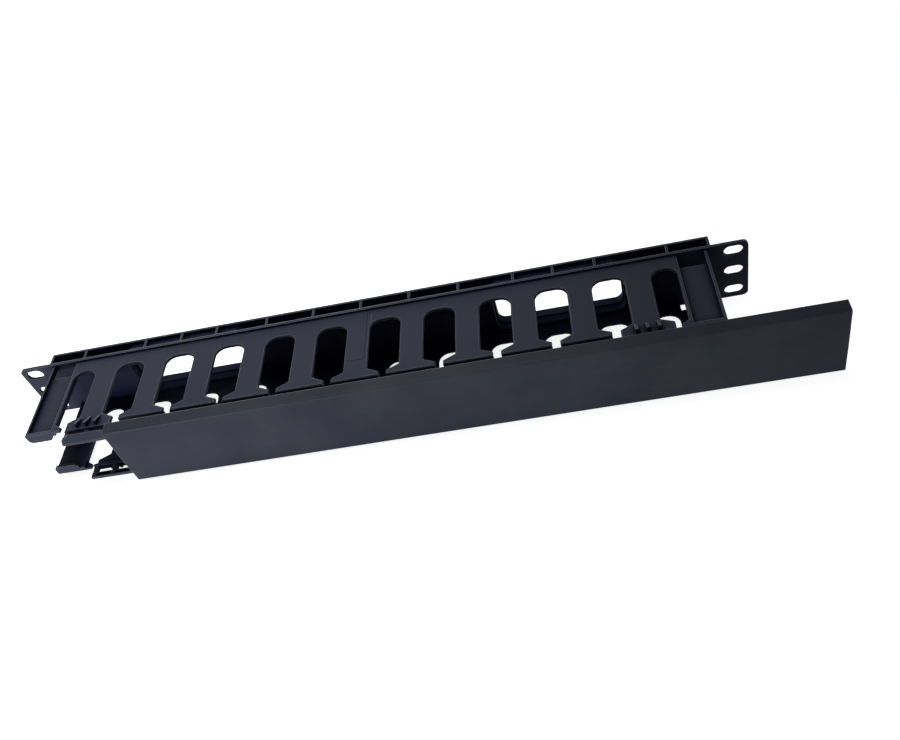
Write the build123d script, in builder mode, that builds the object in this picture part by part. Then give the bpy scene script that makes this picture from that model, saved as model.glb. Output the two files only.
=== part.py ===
# Horizontal cable manager, one rack unit high, for 19-inch racks.
# A moulded finger duct carries two ears, and a moulded cover clips over its front.
# Millimetres. X runs along the rack, Y goes back into it, Z is up.
# The origin is the centre of the ears' rear face, where it meets the rack rails.
from build123d import *
import os

# Panel and rack fixing
panel_width = 482.6
panel_height = 43.66
panel_thickness = 2.0
panel_corner = 3.5
hole_spacing_x = 465.1
hole_spacing_z = 15.875
hole_length = 11.6
hole_height = 7.4

# Cable windows through the panel and the strip behind it
window_x = 124.3
window_width = 80.6
window_height = 31.2
window_corner = 5.0
window_step = 1.0
window_step_depth = 5.6
collar_thickness = 1.6

# Open box strip behind the panel
strip_width = 439.0
strip_height = 42.0
strip_depth = 9.4
strip_wall = 1.6
rib_thickness = 1.6
rib_places = (0, 32, 64, 99, 124, 150, 194)

# Finger walls, above and below the channel; reaches are taken from the panel's front
wall_top = 20.5
wall_thickness = 2.0
finger_reach = 58.0
slot_pitch = 34.6
slot_count = 10
slot_width = 19.6
slot_rear = 10.0
slot_corner = 7.0
taper_length = 3.6
head_length = 3.4
neck_width = 4.8
neck_round = 1.0
head_lip_depth = 4.8
head_lip_thickness = 2.0
edge_bevel = 0.6

# Outer slots, beside the end fingers
outer_slot_x = 188.9
outer_slot_width = 15.6
outer_neck_x = 190.6
outer_neck_width = 3.6

# End fingers: shallow trays with a lip at the front, longer than the others
end_outer_x = 216.8
end_extra = 2.5
end_taper_length = 2.4
end_head_length = 3.1
tray_depth = 2.4
tray_floor = 1.4
tray_start = 9.8
rim_thickness = 1.8
end_lip_depth = 7.4
end_lip_inner_x = 200.0
end_lip_corner = 3.0

# Hook heads, which carry the cover, on the second finger from each end
hook_extra = 4.0
gusset_count = 3
gusset_pitch = 6.4
gusset_thickness = 1.8
gusset_length = 7.6
gusset_height = 3.4
gusset_setback = 2.2

# Rails in front of the hook heads: wedges that the cover's hooks ride over
rail_end_gap = 0.4
rail_depth = 4.2
rail_height = 6.0
rail_nose = 1.8
rail_land = 0.8
rail_wall = 1.0
rail_round = 0.5
rail_lead_length = 5.0
rail_lead_drop = 2.2
web_thickness = 2.6

# Cover
cover_length = 437.0
cover_height = 48.6
cover_thickness = 1.6
cover_corner = 1.5
cover_rear_corner = 0.8
cover_bow = 0.4
cover_stand = 10.7
cover_lip_depth = 8.4
cover_hook_drop = 3.0
cover_clearance = 0.3
cover_slid = 60.5

# Mould insert mark on the middle finger
mark_width = 0.4
mark_depth = 0.3
mark_x = 7.6
mark_start = 5.0
mark_end = 42.5

# Places worked out from the sizes above
panel_front = -panel_thickness
end_reach = finger_reach + end_extra
hook_reach = finger_reach + hook_extra
slots_end = panel_front - 2 * hook_reach
end_inner_x = outer_slot_x + outer_slot_width / 2
end_width = end_outer_x - end_inner_x
end_x = (end_outer_x + end_inner_x) / 2
tray_width = end_width - 2 * rim_thickness
hook_inner_x = (slot_count - 1) / 2 * slot_pitch + neck_width / 2
hook_outer_x = outer_neck_x - outer_neck_width / 2
hook_x = (hook_inner_x + hook_outer_x) / 2
hook_width = hook_outer_x - hook_inner_x
head_front = panel_front - hook_reach
lip_bottom = wall_top - head_lip_depth
rail_width = hook_width - 2 * rail_end_gap
lip_underside = cover_height / 2 - cover_thickness
rail_top = lip_underside - cover_clearance
rail_bottom = rail_top - rail_height
cover_front = head_front - cover_stand
rail_front = cover_front + cover_thickness + cover_clearance
rail_rear = rail_front + rail_depth
web_top = lip_underside - cover_hook_drop - cover_clearance


def finger_slot(width, left, right):
    # One open slot, about its own centre line, from the panel's front.
    # left and right each give the neck's place and where that side's taper starts and ends.
    with BuildSketch(mode=Mode.PRIVATE) as slot:
        with BuildLine():
            Polyline(
                (-width / 2, panel_front - slot_rear),
                (-width / 2, panel_front - left[1]),
                (left[0], panel_front - left[2]),
                (left[0], slots_end),
                (right[0], slots_end),
                (right[0], panel_front - right[2]),
                (width / 2, panel_front - right[1]),
                (width / 2, panel_front - slot_rear),
                close=True,
            )
        make_face()
        corners = slot.vertices()
        fillet(corners.group_by(Axis.Y)[-1], slot_corner)
        neck_starts = [panel_front - left[2], panel_front - right[2]]
        heads = corners.filter_by(lambda v: min(abs(v.Y - y) for y in neck_starts) < neck_round / 10)
        fillet(heads, neck_round)
    return slot.sketch


def cut_slots():
    # All the slots of one wall, taken from the sketch being drawn
    head_start = finger_reach - head_length
    head_taper = (head_start - taper_length, head_start)
    end_head_start = end_reach - end_head_length
    end_taper = (end_head_start - end_taper_length, end_head_start)
    half_neck = neck_width / 2
    with GridLocations(slot_pitch, 1, slot_count, 1):
        slot = finger_slot(slot_width, (-half_neck, *head_taper), (half_neck, *head_taper))
        add(slot, mode=Mode.SUBTRACT)
    neck_inner = outer_neck_x - outer_slot_x - outer_neck_width / 2
    neck_outer = neck_inner + outer_neck_width
    with Locations((outer_slot_x, 0)):
        slot = finger_slot(outer_slot_width, (neck_inner, *head_taper), (neck_outer, *end_taper))
        add(slot, mode=Mode.SUBTRACT)
    with Locations((-outer_slot_x, 0)):
        slot = finger_slot(outer_slot_width, (-neck_outer, *end_taper), (-neck_inner, *head_taper))
        add(slot, mode=Mode.SUBTRACT)


def window_outline(margin):
    # Both cable windows, or their collars when a margin is given
    for side in (-1, 1):
        with Locations((side * window_x, 0)):
            width = window_width + 2 * margin
            height = window_height + 2 * margin
            RectangleRounded(width, height, window_corner + margin)


def rail_outline(bottom):
    # Wedge section of a rail, down to the given height
    Polygon(
        (rail_rear, bottom),
        (rail_front, bottom),
        (rail_front, rail_bottom + rail_nose),
        (rail_rear - rail_land, rail_top),
        (rail_rear, rail_top),
        align=None,
    )


os.makedirs("parts", exist_ok=True)

with BuildPart() as rail:
    # Wedge of the right-hand rail: the cover's hooks ride up its slope and catch behind it
    with BuildSketch(Plane.YZ.offset(hook_x)):
        rail_outline(rail_bottom)
        fillet(vertices(), rail_round)
    extrude(amount=rail_width / 2, both=True)

    # Lower ends, so that the cover also slides on from the side
    with BuildSketch(Plane.XZ.offset(-rail_rear)):
        half_width = rail_width / 2
        with BuildLine():
            Polyline(
                (hook_x - half_width, rail_bottom),
                (hook_x - half_width, rail_top - rail_lead_drop),
                (hook_x - half_width + rail_lead_length, rail_top),
                (hook_x + half_width - rail_lead_length, rail_top),
                (hook_x + half_width, rail_top - rail_lead_drop),
                (hook_x + half_width, rail_bottom),
                close=True,
            )
        make_face()
    extrude(amount=rail_depth, mode=Mode.INTERSECT)

    # Pockets that leave the wedge an even wall, between its ends and the middle web
    pocket_length = (rail_width - 3 * web_thickness) / 2
    for side in (-1, 1):
        pocket_x = hook_x + side * (pocket_length + web_thickness) / 2
        with BuildSketch(Plane.YZ.offset(pocket_x)):
            rail_outline(rail_bottom - 2 * rail_wall)
            offset(amount=-rail_wall, kind=Kind.INTERSECTION, mode=Mode.REPLACE)
        extrude(amount=pocket_length / 2, both=True, mode=Mode.SUBTRACT)

    # Webs from the hook head's lip to the rail, at its outer end and its middle
    for web_x in (hook_x + (rail_width - web_thickness) / 2, hook_x):
        with BuildSketch(Plane.YZ.offset(web_x)):
            with BuildLine():
                Polyline(
                    (head_front + head_lip_thickness / 2, web_top),
                    (rail_rear - rail_round, web_top),
                    (rail_rear - rail_round, rail_bottom + rail_round),
                    (head_front + head_lip_thickness / 2, lip_bottom),
                    close=True,
                )
            make_face()
        extrude(amount=web_thickness / 2, both=True)

with BuildPart() as wall:
    # Finger plate of the upper wall
    with BuildSketch(Plane.XY.offset(wall_top)):
        with Locations((0, panel_front)):
            Rectangle(2 * outer_neck_x, finger_reach, align=(Align.CENTER, Align.MAX))
            for side in (-1, 1):
                with Locations((side * hook_x, 0)):
                    Rectangle(hook_width, hook_reach, align=(Align.CENTER, Align.MAX))
                with Locations((side * (end_outer_x + outer_neck_x) / 2, 0)):
                    head_width = end_outer_x - outer_neck_x
                    Rectangle(head_width, end_reach, align=(Align.CENTER, Align.MAX))
        cut_slots()
    extrude(amount=-wall_thickness)

    # Turned-down lips under the heads of the fingers and the hooks
    with BuildSketch(Plane.XY.offset(wall_top - wall_thickness)):
        with Locations((0, panel_front - finger_reach)):
            Rectangle(2 * hook_inner_x, head_lip_thickness, align=(Align.CENTER, Align.MIN))
        with Locations((-hook_x, head_front), (hook_x, head_front)):
            Rectangle(hook_width, head_lip_thickness, align=(Align.CENTER, Align.MIN))
        cut_slots()
    extrude(amount=-(head_lip_depth - wall_thickness))

    # End fingers: thicker, with a lip across the front
    for side in (-1, 1):
        with BuildSketch(Plane.XY.offset(wall_top - wall_thickness)):
            with Locations((side * end_x, panel_front)):
                Rectangle(end_width, end_reach, align=(Align.CENTER, Align.MAX))
        extrude(amount=-(tray_depth + tray_floor - wall_thickness))
        with BuildSketch(Plane.XZ.offset(end_reach - panel_front)):
            with Locations((side * (end_outer_x + end_lip_inner_x) / 2, wall_top)):
                lip_width = end_outer_x - end_lip_inner_x
                Rectangle(lip_width, end_lip_depth, align=(Align.CENTER, Align.MAX))
            fillet(vertices().group_by(Axis.Y)[0], end_lip_corner)
        extrude(amount=-rim_thickness)

    # Small bevel along every edge of the upper face but the one at the panel
    upper_edges = wall.faces().sort_by(Axis.Z)[-1].edges()
    chamfer(upper_edges.filter_by(lambda e: e.center().Y < panel_front - edge_bevel), edge_bevel)

    # Trays sunk in the end fingers, with an opening behind each floor
    for side in (-1, 1):
        with BuildSketch(Plane.XY.offset(wall_top)):
            with Locations((side * end_x, panel_front)):
                Rectangle(tray_width, end_reach - rim_thickness, align=(Align.CENTER, Align.MAX))
        extrude(amount=-tray_depth, mode=Mode.SUBTRACT)
        with BuildSketch(Plane.XY.offset(wall_top)):
            with Locations((side * end_x, panel_front)):
                Rectangle(tray_width, tray_start, align=(Align.CENTER, Align.MAX))
        extrude(amount=-(tray_depth + tray_floor), mode=Mode.SUBTRACT)

    # Gussets on the hook heads, which keep cables off the cover's edge
    gusset_front = head_front + gusset_setback
    for side in (-1, 1):
        for n in range(gusset_count):
            gusset_x = side * hook_x + (n - (gusset_count - 1) / 2) * gusset_pitch
            with BuildSketch(Plane.YZ.offset(gusset_x)):
                with BuildLine():
                    Polyline(
                        (gusset_front + gusset_length, wall_top),
                        (gusset_front, wall_top + gusset_height),
                        (gusset_front, wall_top - wall_thickness),
                        (gusset_front + gusset_length, wall_top - wall_thickness),
                        close=True,
                    )
                make_face()
            extrude(amount=gusset_thickness / 2, both=True)
    add(rail.part)
    add(rail.part.mirror(Plane.YZ))

with BuildPart() as body:
    # Panel with its ears
    with BuildSketch(Plane.XZ):
        RectangleRounded(panel_width, panel_height, panel_corner)
    extrude(amount=panel_thickness)

    # Open strip behind the panel: rear wall, ends and ribs
    with BuildSketch(Plane.XZ.offset(-strip_depth)):
        Rectangle(strip_width, strip_height)
    extrude(amount=strip_wall)
    end_rib_x = (strip_width - rib_thickness) / 2
    ribs = {side * x for x in (*rib_places, end_rib_x) for side in (-1, 1)}
    with BuildSketch(Plane.XZ):
        with Locations(*[(x, 0) for x in sorted(ribs)]):
            Rectangle(rib_thickness, strip_height)
    extrude(amount=-strip_depth)

    # Collars behind the windows, then the windows and the rack slots through everything
    with BuildSketch(Plane.XZ.offset(-strip_depth)):
        window_outline(window_step + collar_thickness)
    extrude(amount=strip_depth)
    with BuildSketch(Plane.XZ.offset(panel_thickness)):
        window_outline(window_step)
    extrude(amount=-window_step_depth, mode=Mode.SUBTRACT)
    with BuildSketch(Plane.XZ.offset(-strip_depth)):
        window_outline(0)
        with GridLocations(hole_spacing_x, hole_spacing_z, 2, 3):
            SlotOverall(hole_length, hole_height)
    extrude(amount=strip_depth + panel_thickness, mode=Mode.SUBTRACT)

    # Finger walls, the lower one the mirror image of the upper one
    add(wall.part)
    add(wall.part.mirror(Plane.XY))

    # Mark left by the mould insert on the middle finger
    with BuildSketch(Plane.XY.offset(wall_top)):
        with Locations((mark_x, panel_front - mark_start)):
            Rectangle(mark_width, mark_end - mark_start, align=(Align.CENTER, Align.MAX))
    extrude(amount=-mark_depth, mode=Mode.SUBTRACT)

body.part.label = "body"
export_step(body.part, "parts/body.step")

with BuildPart() as cover:
    # Bowed channel with a hook along the rear edge of each lip
    with BuildSketch(Plane.YZ.offset(cover_slid - cover_length / 2)):
        lip_rear = cover_front + cover_lip_depth
        half = cover_height / 2
        hook_tip = half - cover_thickness - cover_hook_drop
        with BuildLine():
            Polyline((lip_rear, hook_tip), (lip_rear, half), (cover_front, half))
            ThreePointArc(
                (cover_front, half), (cover_front - cover_bow, 0), (cover_front, -half)
            )
            Polyline((cover_front, -half), (lip_rear, -half), (lip_rear, -hook_tip))
            offset(amount=cover_thickness, side=Side.LEFT)
        make_face()
        outer_corners = vertices().filter_by(lambda v: abs(abs(v.Y) - half) < cover_thickness / 2)
        front_corners = outer_corners.sort_by(Axis.X)[:2]
        rear_corners = outer_corners.sort_by(Axis.X)[-2:]
        fillet(front_corners, cover_corner)
        fillet(rear_corners, cover_rear_corner)
    extrude(amount=cover_length)

cover.part.label = "cover"
export_step(cover.part, "parts/cover.step")
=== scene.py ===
import math

import bpy
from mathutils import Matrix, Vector


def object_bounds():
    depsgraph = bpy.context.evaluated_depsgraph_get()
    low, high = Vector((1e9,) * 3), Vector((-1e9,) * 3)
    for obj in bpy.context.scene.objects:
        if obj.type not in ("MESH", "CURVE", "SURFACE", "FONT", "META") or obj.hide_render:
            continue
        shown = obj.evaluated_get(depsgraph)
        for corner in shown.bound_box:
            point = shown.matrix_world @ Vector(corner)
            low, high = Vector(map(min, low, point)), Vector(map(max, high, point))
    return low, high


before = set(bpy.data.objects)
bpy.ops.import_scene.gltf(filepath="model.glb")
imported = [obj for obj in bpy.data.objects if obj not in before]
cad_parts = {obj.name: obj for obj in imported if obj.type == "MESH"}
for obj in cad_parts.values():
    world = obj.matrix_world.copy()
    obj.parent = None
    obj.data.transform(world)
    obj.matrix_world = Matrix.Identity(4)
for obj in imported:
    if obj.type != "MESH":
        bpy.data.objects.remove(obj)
cadLow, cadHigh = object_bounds()
print("frame loaded:", sorted(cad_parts))

mm = 0.001


# Helpers for shader nodes

def setSocket(tree, socket, value):
    if isinstance(value, (int, float, tuple)):
        socket.default_value = value
    else:
        tree.links.new(value, socket)


def newGroup(name, inputs, outputs):
    group = bpy.data.node_groups.new(name, "ShaderNodeTree")
    for direction, labels in (("INPUT", inputs), ("OUTPUT", outputs)):
        for label, kind in labels.items():
            group.interface.new_socket(label, in_out=direction, socket_type="NodeSocket" + kind)
    return group, group.nodes.new("NodeGroupInput").outputs, group.nodes.new("NodeGroupOutput").inputs


def mathNode(tree, operation, *values, clamp=False):
    node = tree.nodes.new("ShaderNodeMath")
    node.operation = operation
    node.use_clamp = clamp
    for socket, value in zip(node.inputs, values):
        setSocket(tree, socket, value)
    return node.outputs[0]


def noiseNode(tree, coords, scale, detail, roughness=0.5):
    node = tree.nodes.new("ShaderNodeTexNoise")
    for label, value in (("Vector", coords), ("Scale", scale), ("Detail", detail), ("Roughness", roughness)):
        setSocket(tree, node.inputs[label], value)
    return node.outputs["Fac"]


def rangeNode(tree, value, low, high, toLow=0.0, toHigh=1.0):
    node = tree.nodes.new("ShaderNodeMapRange")
    labels = ("Value", "From Min", "From Max", "To Min", "To Max")
    for label, number in zip(labels, (value, low, high, toLow, toHigh)):
        setSocket(tree, node.inputs[label], number)
    return node.outputs["Result"]


def mixColour(tree, factor, first, second):
    node = tree.nodes.new("ShaderNodeMix")
    node.data_type = "RGBA"
    # Sockets 6, 7 and 2 are the colour ones
    tree.links.new(factor, node.inputs[0])
    for socket, value in ((node.inputs[6], first), (node.inputs[7], second)):
        setSocket(tree, socket, (*value, 1.0) if isinstance(value, tuple) else value)
    return node.outputs[2]


# Shared shader effects: the fixed character of each, as against the looks of a piece below

effectLook = {
    "grainDetail": 2.0, "grainRoughness": 0.6, "skinDetail": 1.5,
    "edgeSamples": 6, "openSamples": 8,
    "scuffStretch": (0.05, 1.0, 1.0), "scuffTilt": (0.0, math.radians(7), math.radians(5)),
    "scuffScale": 900.0, "scuffDetail": 2.0, "scuffRange": (0.62, 0.72),
    "patchScale": 22.0, "patchDetail": 2.0, "patchRange": (0.48, 0.66),
    "toneDetail": 3.0, "toneRoughness": 0.55, "toneRange": (0.35, 0.65),
}


def grainGroup():
    # Height of a spark-eroded mould surface: fine grain over a faint uneven skin
    group, inside, outside = newGroup(
        "mouldGrain",
        {"Coords": "Vector", "Grain Scale": "Float", "Skin Scale": "Float", "Skin Share": "Float"},
        {"Height": "Float"},
    )
    grain = noiseNode(group, inside["Coords"], inside["Grain Scale"],
                      effectLook["grainDetail"], effectLook["grainRoughness"])
    skin = noiseNode(group, inside["Coords"], inside["Skin Scale"], effectLook["skinDetail"])
    skinPart = mathNode(group, "MULTIPLY", skin, inside["Skin Share"])
    group.links.new(mathNode(group, "ADD", grain, skinPart), outside["Height"])
    return group


def edgeGroup():
    # Where an edge is near: the rounded normal turns away from the flat one there
    group, inside, outside = newGroup(
        "softEdge", {"Radius": "Float", "Reach": "Float"}, {"Mask": "Float", "Normal": "Vector"},
    )
    bevel = group.nodes.new("ShaderNodeBevel")
    bevel.samples = effectLook["edgeSamples"]
    group.links.new(inside["Radius"], bevel.inputs["Radius"])
    geometry = group.nodes.new("ShaderNodeNewGeometry")
    dot = group.nodes.new("ShaderNodeVectorMath")
    dot.operation = "DOT_PRODUCT"
    group.links.new(bevel.outputs["Normal"], dot.inputs[0])
    group.links.new(geometry.outputs["True Normal"], dot.inputs[1])
    turned = mathNode(group, "SUBTRACT", 1.0, dot.outputs["Value"])
    mask = mathNode(group, "MULTIPLY", turned, inside["Reach"], clamp=True)
    group.links.new(mask, outside["Mask"])
    group.links.new(bevel.outputs["Normal"], outside["Normal"])
    return group


def scuffGroup():
    # Thin rubbed lines along X, broken up so that they come and go
    group, inside, outside = newGroup(
        "handlingScuffs", {"Coords": "Vector", "Amount": "Float"}, {"Mask": "Float"},
    )
    stretch = group.nodes.new("ShaderNodeMapping")
    stretch.inputs["Scale"].default_value = effectLook["scuffStretch"]
    stretch.inputs["Rotation"].default_value = effectLook["scuffTilt"]
    group.links.new(inside["Coords"], stretch.inputs["Vector"])
    lines = noiseNode(group, stretch.outputs["Vector"], effectLook["scuffScale"], effectLook["scuffDetail"])
    patches = noiseNode(group, inside["Coords"], effectLook["patchScale"], effectLook["patchDetail"])
    both = mathNode(group, "MULTIPLY", rangeNode(group, lines, *effectLook["scuffRange"]),
                    rangeNode(group, patches, *effectLook["patchRange"]))
    group.links.new(mathNode(group, "MULTIPLY", both, inside["Amount"]), outside["Mask"])
    return group


def toneGroup():
    # Slow change of tone over the moulding, from the flow of the plastic
    group, inside, outside = newGroup(
        "mouldTone", {"Coords": "Vector", "Scale": "Float"}, {"Tone": "Float"},
    )
    clouds = noiseNode(group, inside["Coords"], inside["Scale"],
                       effectLook["toneDetail"], effectLook["toneRoughness"])
    group.links.new(rangeNode(group, clouds, *effectLook["toneRange"]), outside["Tone"])
    return group


def openGroup():
    # 1 on open faces, 0 deep in slots, channels or corners, as far as Depth reaches
    group, inside, outside = newGroup(
        "openFaces", {"Depth": "Float", "Closed": "Float", "Open": "Float"}, {"Mask": "Float"},
    )
    around = group.nodes.new("ShaderNodeAmbientOcclusion")
    around.samples = effectLook["openSamples"]
    around.only_local = True
    group.links.new(inside["Depth"], around.inputs["Distance"])
    mask = rangeNode(group, around.outputs["AO"], inside["Closed"], inside["Open"])
    group.links.new(mask, outside["Mask"])
    return group


def lineGroup():
    # 1 inside a thin upright box: a fine line where that box meets a face
    group, inside, outside = newGroup(
        "fineLine", {"Coords": "Vector", "Middle": "Vector", "Half": "Vector"}, {"Mask": "Float"},
    )
    offset = group.nodes.new("ShaderNodeVectorMath")
    offset.operation = "SUBTRACT"
    group.links.new(inside["Coords"], offset.inputs[0])
    group.links.new(inside["Middle"], offset.inputs[1])
    place, half = (group.nodes.new("ShaderNodeSeparateXYZ") for _ in range(2))
    group.links.new(offset.outputs["Vector"], place.inputs[0])
    group.links.new(inside["Half"], half.inputs[0])
    mask = 1.0
    for axis in "XYZ":
        distance = mathNode(group, "ABSOLUTE", place.outputs[axis])
        within = mathNode(group, "LESS_THAN", distance, half.outputs[axis])
        mask = mathNode(group, "MULTIPLY", mask, within)
    group.links.new(mask, outside["Mask"])
    return group


effects = {
    "grain": grainGroup(),
    "open": openGroup(),
    "line": lineGroup(),
    "edge": edgeGroup(),
    "scuffs": scuffGroup(),
    "tone": toneGroup(),
}
print("shader effects built")


def useGroup(tree, key, **values):
    node = tree.nodes.new("ShaderNodeGroup")
    node.node_tree = effects[key]
    for label, value in values.items():
        setSocket(tree, node.inputs[label.replace("_", " ")], value)
    return node.outputs


# Satin moulded plastic

def mouldedPlastic(name, look):
    material = bpy.data.materials.new(name)
    material.use_nodes = True
    tree = material.node_tree
    tree.nodes.clear()
    output = tree.nodes.new("ShaderNodeOutputMaterial")
    shader = tree.nodes.new("ShaderNodeBsdfPrincipled")
    tree.links.new(shader.outputs["BSDF"], output.inputs["Surface"])
    shader.inputs["IOR"].default_value = look["ior"]
    shader.inputs["Specular IOR Level"].default_value = look["specular"]
    coords = tree.nodes.new("ShaderNodeTexCoord").outputs["Object"]

    def product(first, second):
        return mathNode(tree, "MULTIPLY", first, second)

    tone = useGroup(tree, "tone", Coords=coords, Scale=look["toneScale"])["Tone"]
    edge = useGroup(tree, "edge", Radius=look["edgeRadius"], Reach=look["edgeReach"])
    scuffs = useGroup(tree, "scuffs", Coords=coords, Amount=look["scuffAmount"])["Mask"]
    recess = useGroup(tree, "open", Depth=look["recessDepth"], Closed=look["recessClosed"],
                      Open=look["recessOpen"])["Mask"]
    crevice = useGroup(tree, "open", Depth=look["creviceDepth"], Closed=look["creviceClosed"],
                       Open=look["creviceOpen"])["Mask"]

    openFace = mixColour(tree, tone, look["darkColour"], look["lightColour"])
    # Painted shade: where the two occlusion masks fall, the dark colour stands in for the shade of slots,
    # channels and crevices
    surface = mixColour(tree, product(recess, crevice), look["shadeAndSeamColour"], openFace)
    # Painted highlight: open edges get a pale colour in place of the light they catch
    edgeHighlightMask = product(product(edge["Mask"], recess), look["edgeHighlightAmount"])
    surface = mixColour(tree, edgeHighlightMask, surface, look["edgeHighlightColour"])
    surface = mixColour(tree, scuffs, surface, look["scuffColour"])
    for middle, half in look["fineLines"]:
        line = useGroup(tree, "line", Coords=coords, Middle=middle, Half=half)["Mask"]
        # The hair lines are the moulding's own seams, drawn in the same dark colour
        surface = mixColour(tree, line, surface, look["shadeAndSeamColour"])
    tree.links.new(surface, shader.inputs["Base Color"])

    # Edges and scuffs are polished by handling; deep faces are dull
    rough = rangeNode(tree, tone, 0.0, 1.0, look["roughLow"], look["roughHigh"])
    rough = mathNode(tree, "SUBTRACT", rough, product(edge["Mask"], look["edgePolish"]))
    rough = mathNode(tree, "SUBTRACT", rough, product(scuffs, look["scuffPolish"]))
    dull = rangeNode(tree, recess, 0.0, 1.0, look["recessRough"], 0.0)
    tree.links.new(mathNode(tree, "ADD", rough, dull), shader.inputs["Roughness"])

    height = useGroup(tree, "grain", Coords=coords, Grain_Scale=look["grainScale"],
                      Skin_Scale=look["skinScale"], Skin_Share=look["skinShare"])["Height"]
    bump = tree.nodes.new("ShaderNodeBump")
    bump.inputs["Strength"].default_value = look["grainStrength"]
    bump.inputs["Distance"].default_value = look["grainDepth"]
    tree.links.new(height, bump.inputs["Height"])
    tree.links.new(edge["Normal"], bump.inputs["Normal"])
    tree.links.new(bump.outputs["Normal"], shader.inputs["Normal"])
    return material


bodyLook = {
    "darkColour": (0.0205, 0.0225, 0.0385), "lightColour": (0.025, 0.027, 0.0445), "toneScale": 14.0,
    # Painted shade: the dark recess colour stands in for the shade deep in slots, channels and crevices; the
    # hair lines below are drawn in it too
    "shadeAndSeamColour": (0.0013, 0.0017, 0.013), "recessRough": 0.4,
    "recessDepth": 60 * mm, "recessClosed": 0.62, "recessOpen": 0.95,
    "creviceDepth": 8 * mm, "creviceClosed": 0.5, "creviceOpen": 0.98,
    # Painted highlight: the pale edge colour stands in for the light that open edges catch
    "edgeHighlightColour": (0.17, 0.175, 0.2), "edgeRadius": 0.8 * mm, "edgeReach": 6.0,
    "edgeHighlightAmount": 1.0, "edgePolish": 0.1,
    "scuffColour": (0.042, 0.046, 0.062), "scuffAmount": 0.25, "scuffPolish": 0.08,
    "ior": 1.46, "specular": 0.08, "roughLow": 0.42, "roughHigh": 0.48,
    "grainScale": 2600.0, "grainStrength": 0.12, "grainDepth": 0.05 * mm,
    "skinScale": 45.0, "skinShare": 0.5,
    # Hair lines on the middle finger's top, each the middle and half size of a thin box
    "fineLines": [
        ((5.2 * mm, -24.3 * mm, 20.5 * mm), (0.2 * mm, 20.0 * mm, 2.0 * mm)),
        ((-0.3 * mm, -44.6 * mm, 20.5 * mm), (5.5 * mm, 0.2 * mm, 2.0 * mm)),
    ],
}
# The cover is smoother, cloudier and more rubbed than the body
coverLook = {
    **bodyLook,
    "darkColour": (0.016, 0.0175, 0.029), "lightColour": (0.0265, 0.028, 0.0405), "toneScale": 20.0,
    "edgeHighlightAmount": 0.5, "scuffAmount": 0.45, "roughLow": 0.4, "roughHigh": 0.47, "fineLines": [],
}


def dress(node, material):
    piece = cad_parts[node]
    piece.data.materials.clear()
    piece.data.materials.append(material)


dress("body", mouldedPlastic("bodyPlastic", bodyLook))
dress("cover", mouldedPlastic("coverPlastic", coverLook))
print("plastic applied")


# Floor and world

stageLook = {
    "floorColour": (0.82, 0.82, 0.83), "floorSize": 8.0, "floorRough": 0.9, "floorGlow": 0.86,
    "worldColour": (0.74, 0.76, 0.8), "worldStrength": 0.2,
}
white = (1.0, 1.0, 1.0, 1.0)


def backgroundRays(tree):
    # 1 for rays that see the background: from the camera, in gloss or through glass
    path = tree.nodes.new("ShaderNodeLightPath")
    seen = mathNode(tree, "MAXIMUM", path.outputs["Is Camera Ray"], path.outputs["Is Glossy Ray"])
    return mathNode(tree, "MAXIMUM", seen, path.outputs["Is Transmission Ray"])


def makeFloor():
    bpy.ops.mesh.primitive_plane_add(size=stageLook["floorSize"], location=(0, 0, cadLow[2]))
    floor = bpy.context.object
    floor.name = "studioFloor"
    material = bpy.data.materials.new("paleFloor")
    material.use_nodes = True
    tree = material.node_tree
    shader = tree.nodes["Principled BSDF"]
    shader.inputs["Base Color"].default_value = (*stageLook["floorColour"], 1.0)
    shader.inputs["Roughness"].default_value = stageLook["floorRough"]
    shader.inputs["Specular IOR Level"].default_value = 0.0
    shader.inputs["Emission Color"].default_value = white
    glow = mathNode(tree, "MULTIPLY", backgroundRays(tree), stageLook["floorGlow"])
    tree.links.new(glow, shader.inputs["Emission Strength"])
    floor.data.materials.append(material)


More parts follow.
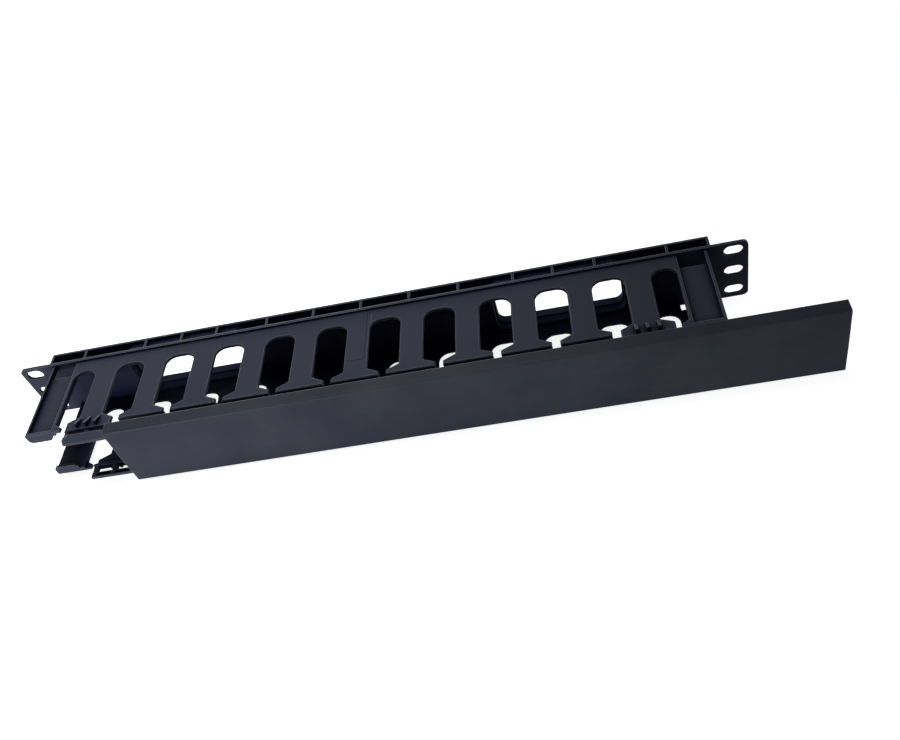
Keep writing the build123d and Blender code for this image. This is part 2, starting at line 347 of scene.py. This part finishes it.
def makeWorld():
    world = bpy.data.worlds.new("studioWorld")
    bpy.context.scene.world = world
    world.use_nodes = True
    tree = world.node_tree
    tree.nodes.clear()
    soft = tree.nodes.new("ShaderNodeBackground")
    soft.inputs["Color"].default_value = (*stageLook["worldColour"], 1.0)
    soft.inputs["Strength"].default_value = stageLook["worldStrength"]
    plain = tree.nodes.new("ShaderNodeBackground")
    plain.inputs["Color"].default_value = white
    mix = tree.nodes.new("ShaderNodeMixShader")
    output = tree.nodes.new("ShaderNodeOutputWorld")
    tree.links.new(backgroundRays(tree), mix.inputs["Fac"])
    tree.links.new(soft.outputs["Background"], mix.inputs[1])
    tree.links.new(plain.outputs["Background"], mix.inputs[2])
    tree.links.new(mix.outputs["Shader"], output.inputs["Surface"])


# Lamps: places, aims and sizes in metres, spreads in degrees

lamps = {
    "overheadLamp": {"place": (-0.19, 0.15, 0.8), "aim": (-0.16, -0.03, 0.0), "size": (0.5, 0.4),
                     "spread": 55, "power": 0.93},
    "frontLamp": {"place": (-0.45, -0.7, 0.0), "aim": (-0.15, -0.08, 0.0), "size": (0.6, 0.04),
                  "spread": 70, "power": 1.2},
    "rearLamp": {"place": (-0.35, 1.1, 0.12), "aim": (0.0, 0.0, 0.0), "size": (0.8, 0.3),
                 "spread": 180, "power": 4.0},
}


def makeLamps():
    for name, lamp in lamps.items():
        light = bpy.data.lights.new(name, "AREA")
        light.shape = "RECTANGLE"
        light.size, light.size_y = lamp["size"]
        light.energy = lamp["power"]
        light.spread = math.radians(lamp["spread"])
        holder = bpy.data.objects.new(name, light)
        bpy.context.collection.objects.link(holder)
        holder.location = lamp["place"]
        direction = Vector(lamp["aim"]) - Vector(lamp["place"])
        holder.rotation_euler = direction.to_track_quat("-Z", "Y").to_euler()


# Camera: fitted to the rack slots, the fingers and the cover's corners in the photograph

cameraLook = {
    "place": (145.5 * mm, -421.2 * mm, 387.1 * mm),
    "angles": (42.56, 12.944, -0.668),
    "lens": 35.84, "sensor": 36.0, "shiftX": -0.0126, "shiftY": 0.0104, "nearest": 10 * mm,
}


def makeCamera():
    data = bpy.data.cameras.new("photoCamera")
    data.sensor_width = cameraLook["sensor"]
    data.lens = cameraLook["lens"]
    data.shift_x = cameraLook["shiftX"]
    data.shift_y = cameraLook["shiftY"]
    data.clip_start = cameraLook["nearest"]
    camera = bpy.data.objects.new("photoCamera", data)
    bpy.context.collection.objects.link(camera)
    camera.location = cameraLook["place"]
    camera.rotation_euler = [math.radians(angle) for angle in cameraLook["angles"]]
    bpy.context.scene.camera = camera


makeFloor()
makeWorld()
makeLamps()
makeCamera()
bpy.context.scene.view_settings.view_transform = "Standard"
print("stage set")

bpy.context.view_layer.update()
